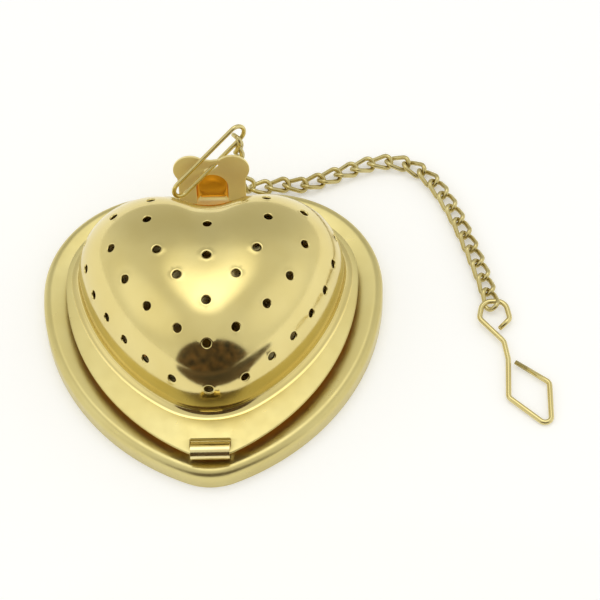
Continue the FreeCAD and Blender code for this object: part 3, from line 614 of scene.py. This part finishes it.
def make_dome_faces(points, holes, outer):
    edges = []
    for loop in [outer] + [h[2][0] for h in holes]:
        edges.extend((loop[i], loop[(i + 1) % len(loop)]) for i in range(len(loop)))
    found = delaunay_2d_cdt(points, edges, [], 0, 1e-8)
    faces = []
    for face in found[2]:
        originals = [found[3][i] for i in face]
        if len(face) != 3 or not all(originals):
            continue
        corners = [o[0] for o in originals]
        middle = (points[corners[0]] + points[corners[1]] + points[corners[2]]) / 3
        if middle.length > heart_radius(math.atan2(middle.y, middle.x)) * 0.9995:
            continue
        if any((middle - c).length < 2.0 and (m @ (middle - c)).length < HOLE_RADIUS * 0.98
               for c, m, _ in holes):
            continue
        faces.append(corners)
    return faces


# ------------------------------------------------------------------ flanges

FLANGE_HEART = heart_arcs(LID_HIGH.x, 14.0, 5.8, -22.1, 9.0)
TONGUE_HALF = 2.1
SLOT_HALF = 3.45


def clipped(rim, front):
    """A heart's outline whose tip is cut straight across, with eased corners."""
    outline = [Vector(p) for p, _ in rim]
    cut = [Vector((p.x, max(p.y, front))) for p in outline]
    for _ in range(3):
        cut = [(cut[i - 1] + cut[i] * 2 + cut[(i + 1) % len(cut)]) / 4 if abs(cut[i].x) < 6
               and cut[i].y < front + 3 else cut[i] for i in range(len(cut))]
    return cut


def with_tongue(outline, half_width, end):
    """The outline with a square tongue at the cleft."""
    kept = []
    corners = [Vector((half_width, 0)), Vector((half_width, end)), Vector((-half_width, end)),
               Vector((-half_width, 0))]
    placed = False
    for point in outline:
        in_tongue = abs(point.x) < half_width and point.y > 0
        if not in_tongue:
            kept.append(point)
            continue
        if placed:
            continue
        before = kept[-1]
        kept.extend(tongue_edge(before.y, corners))
        placed = True
    return kept


def tongue_edge(start, corners):
    """Points up one side of the tongue, across its end and down, with eased corners."""
    half, end = corners[1]
    ease = 0.35
    points = []
    for share in (0.0, 0.3, 0.6, 0.85):
        points.append(Vector((half, start + (end - ease - start) * share)))
    for angle in range(0, 91, 18):
        turn = math.radians(angle)
        points.append(Vector((half - ease + ease * math.cos(turn),
                              end - ease + ease * math.sin(turn))))
    for share in (0.75, 0.5, 0.25):
        points.append(Vector(((half - ease) * (2 * share - 1), end)))
    mirrored = [Vector((-p.x, p.y)) for p in points[:10]]
    return points + list(reversed(mirrored))


def rounded_box(left, right, low, high, ease):
    """A flat rectangle with eased corners, counter-clockwise."""
    points = []
    for centre, start in (((right - ease, low + ease), -90), ((right - ease, high - ease), 0),
                          ((left + ease, high - ease), 90), ((left + ease, low + ease), 180)):
        for angle in range(0, 91, 15):
            turn = math.radians(start + angle)
            points.append(Vector((centre[0] + ease * math.cos(turn),
                                  centre[1] + ease * math.sin(turn))))
    return points


def edge_rings(build, outline, low, high, round_by, outward, kind):
    """The rounded edge of a plate along a loop; returns its top and bottom loops of indices."""
    sign = 1 if outward else -1
    rings = []
    steps = 4
    profile = []
    for index in range(steps + 1):
        angle = math.pi / 2 * index / steps
        profile.append((round_by * (1 - math.sin(angle)),
                        high - round_by * (1 - math.cos(angle))))
    profile += [(inset, high + low - height) for inset, height in reversed(profile)]
    for inset, height in profile:
        ring = offset_loop(outline, -inset * sign)
        rings.append(build.add_points((p.x, p.y, height) for p in ring))
    for first, second in zip(rings, rings[1:]):
        build.bridge(first, second, kind, flip=outward)
    return rings[0], rings[-1]


def make_upper_shell():
    build = Builder()
    points, pushes, holes, outer = dome_map()
    normals = [dome_normal(p) for p in points]
    outside = build.add_points(on_dome(p) - n * push
                               for p, n, push in zip(points, normals, pushes))
    inside_points = build.add_points(on_dome(p) - n * SHEET for p, n in zip(points, normals))
    for corners in make_dome_faces(points, holes, outer):
        build.add_face([outside[c] for c in corners])
        build.add_face([inside_points[c] for c in corners], 1, flip=True)
    for _, _, loops in holes:
        edge = [outside[i] for i in loops[0]]
        inner = [inside_points[i] for i in loops[0]]
        build.bridge(edge, inner, 1)

    wall = [on_dome(points[i]) for i in outer]
    sides = [Vector((normals[i].x, normals[i].y)).normalized() for i in outer]
    previous = [outside[i] for i in outer]
    for degrees in range(80, -1, -10):
        turn = math.radians(degrees)
        grow = FILLET * (1 - math.sin(turn))
        height = FLANGE_TOP + FILLET * (1 - math.cos(turn))
        foot = build.add_points((p.x + s.x * grow, p.y + s.y * grow, height)
                                for p, s in zip(wall, sides))
        build.bridge(foot, previous)
        previous = foot
    mouth = build.add_points((p.x - s.x * SHEET, p.y - s.y * SHEET, FLANGE_BASE)
                             for p, s in zip(wall, sides))
    build.bridge(mouth, [inside_points[i] for i in outer], 1, flip=True)

    outline = clipped(heart_rim(FLANGE_HEART, RIM_COUNT), LID_LOW.y)
    outline = with_tongue(outline, TONGUE_HALF, LID_HIGH.y)
    slot = rounded_box(-SLOT_HALF, SLOT_HALF, HINGE.y + 0.75, HINGE.y + 2.5, 0.25)
    top, bottom = edge_rings(build, outline, FLANGE_BASE, FLANGE_TOP, 0.18, True, 2)
    slot_top, slot_bottom = edge_rings(build, slot, FLANGE_BASE, FLANGE_TOP, 0.12, False, 2)
    build.fill([top, foot, slot_top], flat_xy, 2)
    build.fill([bottom, mouth, slot_bottom], flat_xy, 2, flip=True)
    piece = add_piece("lid_shell", build.points, build.faces,
                      [MIRROR_GOLD, MIRROR_GOLD, SATIN_GOLD], "lid", build.kinds)
    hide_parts("upper_shell")


make_upper_shell()

# ------------------------------------------------------------------ wires


def tube(build, path, radius, closed, sides=18):
    """A round wire along points; open ends are eased over."""
    count = len(path)
    rings = []
    if closed:
        tangents = [(path[(i + 1) % count] - path[i - 1]).normalized() for i in range(count)]
    else:
        tangents = [(path[min(i + 1, count - 1)] - path[max(i - 1, 0)]).normalized()
                    for i in range(count)]
    side = tangents[0].orthogonal().normalized()
    stations = []
    for point, tangent in zip(path, tangents):
        side = (side - tangent * side.dot(tangent)).normalized()
        stations.append((point, tangent, side, radius))
    if closed:
        last = stations[-1][2]
        first = stations[0][2]
        turned = (last - tangents[0] * last.dot(tangents[0])).normalized()
        twist = math.atan2(turned.cross(first).dot(tangents[0]), turned.dot(first))
        stations = [(p, t, Matrix.Rotation(twist * i / count, 3, t) @ s, r)
                    for i, (p, t, s, r) in enumerate(stations)]
    else:
        start, end = stations[0], stations[-1]
        ease = 0.18
        heads = []
        tails = []
        for share in (1.0, 0.7, 0.35):
            lift = ease * (1 - math.sqrt(1 - share ** 2))
            heads.append((start[0] + start[1] * lift, start[1], start[2], radius - ease * share))
            tails.append((end[0] - end[1] * lift, end[1], end[2], radius - ease * share))
        stations = heads + stations[1:-1] + list(reversed(tails))
    for point, tangent, across, size in stations:
        other = tangent.cross(across)
        ring = []
        for index in range(sides):
            angle = 2 * math.pi * index / sides
            ring.append(point + across * (math.cos(angle) * size)
                        + other * (math.sin(angle) * size))
        rings.append(build.add_points(ring))
    for first, second in zip(rings, rings[1:]):
        build.bridge(first, second)
    if closed:
        build.bridge(rings[-1], rings[0])
    else:
        build.add_face(rings[0], flip=True)
        build.add_face(rings[-1])


def oval_path(straight, radius, steps):
    """Points round a flat oval whose long axis is X."""
    reach = straight / 2
    points = []
    for centre, start in ((reach, -90), (-reach, 90)):
        for index in range(steps):
            angle = math.radians(start + 180 * index / (steps - 1))
            points.append(Vector((centre + radius * math.cos(angle), radius * math.sin(angle), 0)))
        if straight > 4 * radius:
            sign = 1 if centre > 0 else -1
            points.extend(Vector((sign * (reach - straight * share), sign * radius, 0))
                          for share in (0.2, 0.4, 0.6, 0.8))
    return points


def axes_matrix(long_axis, cross_axis):
    x_axis = Vector(long_axis).normalized()
    z_axis = x_axis.cross(cross_axis).normalized()
    y_axis = z_axis.cross(x_axis)
    return Matrix((x_axis, y_axis, z_axis)).transposed()


LEAN = math.radians(12.0)
TAB_UP = Vector((0.0, math.sin(LEAN), math.cos(LEAN)))
TAB_BACK = Vector((0.0, math.cos(LEAN), -math.sin(LEAN)))
TAB_FOOT = Vector((0.0, LATCH.y, LATCH.z - 0.25))
LINK_RUN = Vector((0.722, 0.550, 0.420)).normalized()
TAB_HALF = 6.0
EAR_OFFSET, EAR_HEIGHT, EAR_RADIUS, EAR_VALLEY = 3.7, 9.1, 3.1, 11.2
NICHE_HALF, NICHE_LOW, NICHE_SPRING = 2.85, 0.7, 5.05
LEDGE_HEIGHT = 0.9
LIP_RINGS = 3
EYELET_HEIGHT, EYELET_REACH, EYELET_RADIUS = 9.4, 1.0, 0.5
HANGER_WIRE = 0.8
# (inwards from the arch, forwards from the sheet's middle), over the lip and into the niche
NICHE_PROFILE = [(-0.30, 0.25), (-0.15, 0.235), (-0.04, 0.16), (0.0, 0.02), (0.03, -0.5),
                 (0.08, -0.95), (0.22, -1.28), (0.50, -1.50), (0.95, -1.59), (1.9, -1.60)]
BOSS_PROFILE = [(-0.36, -0.25), (-0.34, -0.40), (-0.34, -1.2), (-0.28, -1.55), (-0.08, -1.83),
                (0.3, -1.97), (1.0, -2.0)]


def arc_points(centre, radius, start, end, steps):
    turns = [math.radians(start + (end - start) * i / steps) for i in range(steps + 1)]
    return [Vector((centre[0] + radius * math.cos(t), centre[1] + radius * math.sin(t)))
            for t in turns]


def tab_outline():
    """The two-eared outline of the tab, counter-clockwise, with eased lower corners."""
    side = math.degrees(math.acos((TAB_HALF - EAR_OFFSET) / EAR_RADIUS))
    valley = 180 - math.degrees(math.asin((EAR_VALLEY - EAR_HEIGHT) / EAR_RADIUS))
    right = arc_points((TAB_HALF - 0.4, 0.4), 0.4, -90, 0, 5)
    low = EAR_HEIGHT - EAR_RADIUS * math.sin(math.radians(side))
    right += [Vector((TAB_HALF, 0.4 + (low - 0.4) * share)) for share in (0.2, 0.4, 0.6, 0.8)]
    right += arc_points((EAR_OFFSET, EAR_HEIGHT), EAR_RADIUS, -side + 4, valley - 4, 26)
    left = [Vector((-p.x, p.y)) for p in reversed(right)]
    foot = [Vector((TAB_HALF * share, 0.0)) for share in (-0.7, -0.35, 0.0, 0.35, 0.7)]
    return foot + right + [Vector((0.0, EAR_VALLEY - 0.05))] + left


def arch_loop():
    ease = 0.45
    right = arc_points((NICHE_HALF - ease, NICHE_LOW + ease), ease, -90, 0, 5)
    rise = NICHE_SPRING - NICHE_LOW - ease
    right += [Vector((NICHE_HALF, NICHE_LOW + ease + rise * share))
              for share in (0.25, 0.5, 0.75)]
    right += arc_points((0.0, NICHE_SPRING), NICHE_HALF, 0, 82, 11)
    left = [Vector((-p.x, p.y)) for p in reversed(right)]
    foot = [Vector((NICHE_HALF * share, NICHE_LOW)) for share in (-0.5, 0.0, 0.5)]
    return foot + right + [Vector((0.0, NICHE_SPRING + NICHE_HALF))] + left


def eyelet_loop():
    slope = math.atan2(LINK_RUN.dot(TAB_UP), LINK_RUN.x)
    turned = math.degrees(slope)
    reach = Vector((math.cos(slope), math.sin(slope))) * EYELET_REACH
    middle = Vector((0.0, EYELET_HEIGHT))
    return (arc_points(middle + reach, EYELET_RADIUS, turned - 90, turned + 90, 8)
            + arc_points(middle - reach, EYELET_RADIUS, turned + 90, turned + 270, 8))


def pressed_rings(build, loop, profile):
    """Rings of a pressing: the loop shrunk towards its middle by each inset of the profile."""
    middle = Vector((0.0, (NICHE_LOW + NICHE_SPRING + NICHE_HALF) / 2))
    rings = []
    for inset, height in profile:
        scale = 1 - inset / NICHE_HALF
        flat = [middle + (p - middle) * scale for p in loop]
        rings.append(build.add_points((p.x, p.y, height) for p in flat))
    return rings


def make_latch_tab():
    build = Builder()
    half_sheet = SHEET / 2
    front, back = edge_rings(build, tab_outline(), -half_sheet, half_sheet, 0.14, True, 0)
    hole_front, hole_back = edge_rings(build, eyelet_loop(), -half_sheet, half_sheet,
                                       0.05, False, 0)
    niche = pressed_rings(build, arch_loop(), NICHE_PROFILE)
    boss = pressed_rings(build, arch_loop(), BOSS_PROFILE)
    for index, (outer, inner) in enumerate(zip(niche, niche[1:])):
        build.bridge(outer, inner, int(index >= LIP_RINGS))
    for outer, inner in zip(boss, boss[1:]):
        build.bridge(outer, inner, 0, flip=True)
    build.fill([niche[-1]], flat_xy, 1)
    build.fill([boss[-1]], flat_xy, 0, flip=True)
    build.fill([front, niche[0], hole_front], flat_xy, 0)
    build.fill([back, boss[0], hole_back], flat_xy, 0, flip=True)
    # Painted shade: the niche's faces above its ledge take the deep orange gold; the lip and the
    # ledge keep the tab's gold.
    ledge = NICHE_LOW + LEDGE_HEIGHT
    kinds = [kind * int(max(build.points[i][1] for i in face) > ledge)
             for kind, face in zip(build.kinds, build.faces)]
    points = [TAB_FOOT + Vector((u, 0, 0)) + TAB_UP * v - TAB_BACK * h
              for u, v, h in build.points]
    piece = add_piece("eared_tab", points, build.faces, [TAB_BOUNCE_GLOW, NICHE_PAINTED_SHADE], "latch",
                      kinds)
    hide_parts("latch_tab")


make_latch_tab()


def make_hanger_link():
    back, ahead, radius = 6.2, 7.4, 1.6
    eyelet = TAB_FOOT + TAB_UP * EYELET_HEIGHT
    across = (TAB_UP - LINK_RUN * TAB_UP.dot(LINK_RUN)).normalized()
    middle = eyelet + LINK_RUN * ((ahead - back) / 2) + across * radius
    turn = axes_matrix(LINK_RUN, across)
    build = Builder()
    path = [middle + turn @ p for p in oval_path(back + ahead, radius, 17)]
    tube(build, path, HANGER_WIRE / 2, True)
    piece = add_piece("long_link", build.points, build.faces, [WIRE_GOLD], "latch")
    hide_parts("hanger_link")


make_hanger_link()

# ------------------------------------------------------------------ chain

CHAIN_ROUTE = [
    (4.75, 31.35, 16.30), (5.00, 31.60, 12.30), (4.55, 31.90, 8.40), (4.90, 32.50, 4.35),
    (7.15, 32.30, 1.80), (9.15, 32.90, 1.28), (12.60, 33.50, 1.28), (16.40, 33.20, 1.28),
    (20.60, 34.80, 1.28), (25.20, 36.70, 1.28), (29.90, 38.30, 1.28), (34.60, 38.00, 1.28),
    (38.60, 35.30, 1.28), (41.40, 31.00, 1.28), (43.60, 25.90, 1.28), (45.40, 20.60, 1.28),
    (46.90, 15.60, 1.28), (48.20, 11.00, 1.28), (48.95, 6.95, 1.28),
]
LINK_COUNT = 25
LINK_WIRE = 0.82
LINK_LENGTH = 5.0
LINK_WIDTH = 3.2
LINK_TWIST = math.radians(45.0)


def chain_line():
    """The chain's smooth line in metres, read from a NURBS curve through its route."""
    data = bpy.data.curves.new("chain_route", "CURVE")
    data.dimensions = "3D"
    data.resolution_u = 24
    spline = data.splines.new("NURBS")
    spline.points.add(len(CHAIN_ROUTE) - 1)
    for point, place in zip(spline.points, CHAIN_ROUTE):
        point.co = (*(v * MM for v in place), 1.0)
    spline.order_u = 3
    spline.use_endpoint_u = True
    curve = bpy.data.objects.new("chain_route", data)
    mesh = bpy.data.meshes.new_from_object(curve)
    line = [v.co.copy() for v in mesh.vertices]
    bpy.data.meshes.remove(mesh)
    bpy.data.objects.remove(curve)
    bpy.data.curves.remove(data)
    return line


def along_line(line, count):
    """Places and directions at equal steps along a line of points."""
    lengths = [0.0]
    for a, b in zip(line, line[1:]):
        lengths.append(lengths[-1] + (b - a).length)
    places = []
    for index in range(count):
        target = lengths[-1] * index / (count - 1)
        k = min(max(next((i for i, s in enumerate(lengths) if s >= target), 1), 1), len(line) - 1)
        share = (target - lengths[k - 1]) / (lengths[k] - lengths[k - 1])
        before = line[max(k - 2, 0)]
        after = line[min(k + 1, len(line) - 1)]
        places.append((line[k - 1].lerp(line[k], share), (after - before).normalized()))
    return places, lengths[-1]


def make_chain():
    line = chain_line()
    places, total = along_line(line, LINK_COUNT)
    radius = (LINK_WIDTH - LINK_WIRE) / 2
    straight = LINK_LENGTH - LINK_WIRE - 2 * radius
    half = LINK_LENGTH / 2 - LINK_WIRE / 2
    chance = random.Random(11)
    build = Builder()
    oval = oval_path(straight, radius, 19)
    for place, tangent in places:
        heading = Vector((tangent.x, tangent.y, 0.0))
        if heading.length < 0.3:
            heading = Vector((1.0, 0.0, 0.0))
        left = Vector((0.0, 0.0, 1.0)).cross(heading).normalized()
        turn = axes_matrix(tangent, left)
        roll = math.radians(chance.uniform(-6.0, 6.0))
        path = []
        for point in oval:
            angle = LINK_TWIST * point.x / half + roll
            path.append(place / MM + turn @ (Matrix.Rotation(angle, 3, "X") @ point))
        tube(build, path, LINK_WIRE / 2, True, 12)
    piece = add_piece("chain", build.points, build.faces, [CHAIN_GOLD],
                      "infuser_base")
    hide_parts(*(f"chain_link_{i:02d}" for i in range(1, LINK_COUNT + 1)))
    return piece, line, total


chain, chain_path, chain_length = make_chain()

# ------------------------------------------------------------------ hook

HOOK_BENDS = [
    (1.05, -5.60, 0.0), (2.95, -3.60, 1.1), (2.30, 0.10, 1.9), (-1.75, 0.10, 1.9),
    (-2.40, -3.40, 1.3), (1.65, -8.30, 1.8), (2.20, -12.00, 3.0), (1.85, -19.70, 1.0),
    (8.90, -26.20, 1.1), (9.05, -16.90, 1.1), (3.40, -12.60, 0.0),
]
HOOK_TILT = math.radians(1.75)
HOOK_WIRE = 0.95


def bent_wire(bends):
    """Points along straight runs joined by tangent arcs, at the bends' radii."""
    corners = [Vector((x, y)) for x, y, _ in bends]
    path = [corners[0]]
    for index in range(1, len(corners) - 1):
        corner = corners[index]
        radius = bends[index][2]
        back = (corners[index - 1] - corner).normalized()
        ahead = (corners[index + 1] - corner).normalized()
        half_turn = (math.pi - back.angle(ahead)) / 2
        bisector = (back + ahead).normalized()
        centre = corner + bisector * (radius / math.cos(half_turn))
        enter = corner + back * (radius * math.tan(half_turn)) - centre
        sweep = enter.angle_signed(corner + ahead * (radius * math.tan(half_turn)) - centre)
        steps = 10
        for step in range(steps + 1):
            path.append(centre + Matrix.Rotation(-sweep * step / steps, 2) @ enter)
    path.append(corners[-1])
    return path


def make_hook():
    tilt = Matrix.Rotation(HOOK_TILT, 3, "X")
    path = []
    for point in bent_wire(HOOK_BENDS):
        placed = HOOK_TOP + tilt @ Vector((point.x, point.y, 0.0))
        if not path or (placed - path[-1]).length > 0.02:
            path.append(placed)
    build = Builder()
    tube(build, path, HOOK_WIRE / 2, False)
    piece = add_piece("wire_hook", build.points, build.faces, [WIRE_GOLD], "hook")
    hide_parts("hook")
    return piece


hook = make_hook()

# ------------------------------------------------------------------ CAD nodes that stay

lower_shell = frame["nodes"]["lower_shell"]
lower_shell.data.materials.clear()
lower_shell.data.materials.append(LOWER_GOLD)

# ------------------------------------------------------------------ studio


def make_floor():
    material, _, shader = new_material("floor_white")
    shader.inputs["Base Color"].default_value = (0.86, 0.86, 0.85, 1.0)
    shader.inputs["Roughness"].default_value = 0.7
    shader.inputs["Emission Color"].default_value = (1.0, 1.0, 1.0, 1.0)
    shader.inputs["Emission Strength"].default_value = 0.25
    mesh = bpy.data.meshes.new("floor")
    half = 1.5
    mesh.from_pydata([(-half, -half, 0), (half, -half, 0), (half, half, 0), (-half, half, 0)],
                     [], [(0, 1, 2, 3)])
    mesh.materials.append(material)
    floor = bpy.data.objects.new("floor", mesh)
    bpy.context.scene.collection.objects.link(floor)


def add_card(name, place, lean, size, tones):
    """A mottled dark card with a round top, which shows only in reflections."""
    material, tree, shader = new_material(name + "_cloth")
    coords = node(tree, "ShaderNodeTexCoord").outputs["Object"]
    mix = node(tree, "ShaderNodeMix", data_type="RGBA")
    mix.inputs["A"].default_value = (*tones[0], 1.0)
    mix.inputs["B"].default_value = (*tones[1], 1.0)
    tree.links.new(ramp(tree, noise(tree, coords, 0.006, 3.0), -0.2, 1.0), mix.inputs["Factor"])
    tree.links.new(mix.outputs["Result"], shader.inputs["Base Color"])
    shader.inputs["Roughness"].default_value = 0.9
    mesh = bpy.data.meshes.new(name)
    wide, tall = size[0] / 2, size[1]
    arch = [math.pi * index / 24 for index in range(25)]
    mesh.from_pydata([(math.cos(turn) * wide, math.sin(turn) * tall, 0) for turn in arch],
                     [], [tuple(range(25))])
    mesh.materials.append(material)
    card = bpy.data.objects.new(name, mesh)
    bpy.context.scene.collection.objects.link(card)
    card.location = place
    card.rotation_euler = (math.radians(lean), 0, 0)
    card.visible_camera = False
    card.visible_shadow = False
    card.visible_diffuse = False


def direction(azimuth, elevation):
    """A unit vector; azimuth 0 is +Y, 90 is +X."""
    turn, lift = math.radians(azimuth), math.radians(elevation)
    return (math.sin(turn) * math.cos(lift), math.cos(turn) * math.cos(lift), math.sin(lift))


def add_glow(tree, ray, colour, toward, inner, outer, strength):
    """Adds a soft round glow to the sky; inner and outer are its half-angles in degrees."""
    dot = node(tree, "ShaderNodeVectorMath", operation="DOT_PRODUCT")
    dot.inputs[1].default_value = toward
    tree.links.new(ray, dot.inputs[0])
    fade = node(tree, "ShaderNodeMapRange", interpolation_type="SMOOTHSTEP")
    fade.inputs["From Min"].default_value = math.cos(math.radians(outer))
    fade.inputs["From Max"].default_value = math.cos(math.radians(inner))
    fade.inputs["To Max"].default_value = strength
    tree.links.new(dot.outputs["Value"], fade.inputs["Value"])
    total = node(tree, "ShaderNodeVectorMath", operation="ADD")
    tree.links.new(colour, total.inputs[0])
    tree.links.new(fade.outputs["Result"], total.inputs[1])
    return total.outputs["Vector"]


# each glow: direction, inner and outer half-angle in degrees, strength
GLOWS = [
    (direction(-3, 76), 3, 27, 1.10),
    (direction(0, 16), 12, 58, -0.21),
    (direction(-95, 32), 4, 30, 0.28),
    (direction(95, 28), 4, 30, 0.20),
]
# sine of the elevation, grey level
SKY = [(0.0, 0.86), (0.35, 0.80), (0.62, 0.76), (0.84, 0.78), (1.0, 0.84)]


def make_world():
    world = bpy.data.worlds.new("studio")
    bpy.context.scene.world = world
    world.use_nodes = True
    tree = world.node_tree
    background = next(n for n in tree.nodes if n.type == "BACKGROUND")
    ray = node(tree, "ShaderNodeTexCoord").outputs["Generated"]
    split = node(tree, "ShaderNodeSeparateXYZ")
    tree.links.new(ray, split.inputs["Vector"])
    shades = node(tree, "ShaderNodeValToRGB")
    tree.links.new(split.outputs["Z"], shades.inputs["Fac"])
    stops = shades.color_ramp.elements
    while len(stops) < len(SKY):
        stops.new(0.5)
    for stop, (place, grey) in zip(stops, SKY):
        stop.position = place
        stop.color = (grey, grey * 0.99, grey * 0.94, 1.0)
    colour = shades.outputs["Color"]
    for toward, inner, outer, strength in GLOWS:
        colour = add_glow(tree, ray, colour, toward, inner, outer, strength)
    tree.links.new(colour, background.inputs["Color"])


def make_studio():
    make_floor()
    make_world()
    tones = ((0.012, 0.010, 0.006), (0.19, 0.10, 0.04))
    add_card("camera_side", (0.06, -0.80, 0.0), 90, (1.8, 0.86), tones)
    add_card("table_side", (0.03, -0.80, 0.004), 0, (0.6, 0.765), tones)
    bpy.context.scene.view_settings.view_transform = "Standard"


make_studio()
